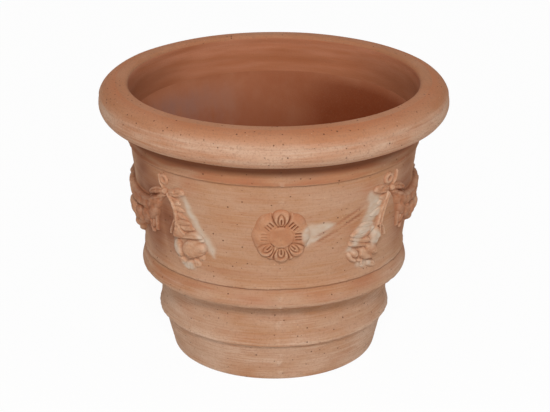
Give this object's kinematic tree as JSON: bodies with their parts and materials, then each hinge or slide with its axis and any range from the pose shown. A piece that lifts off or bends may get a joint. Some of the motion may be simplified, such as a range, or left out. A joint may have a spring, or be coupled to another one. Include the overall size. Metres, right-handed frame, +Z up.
{
  "type": "festoon planter",
  "caption": "Round tapered terracotta planter with a rolled rim, two raised bands, and a frieze of rosettes, ribbon bows, fruit drops and swags; holds soil and drains through its floor.",
  "frame": {"origin": "centre of the underside, on the ground", "axes": "+Z up along the pot's axis, front rosette towards -Y"},
  "size_m": [0.3999, 0.3998, 0.323],
  "materials": {
    "wall_clay": "unglazed, wiped by hand",
    "rim_clay": "unglazed, wiped by hand, pale lime bloom",
    "floor_clay": "unglazed, rough inside",
    "ornament_clay": "unglazed, pressed in a mould"
  },
  "bodies": {
    "root": {"floor_slab": "floor_clay", "wall_half_left": "wall_clay", "wall_half_right": "wall_clay", "rim_roll": "rim_clay", "rosette_front": "ornament_clay", "rosette_back": "ornament_clay", "bow_front_left": "ornament_clay", "bow_front_right": "ornament_clay", "bow_back_left": "ornament_clay", "bow_back_right": "ornament_clay", "drop_front_left": "ornament_clay", "drop_front_right": "ornament_clay", "drop_back_left": "ornament_clay", "drop_back_right": "ornament_clay", "swag_left": "ornament_clay", "swag_right": "ornament_clay"}
  },
  "joints": []
}
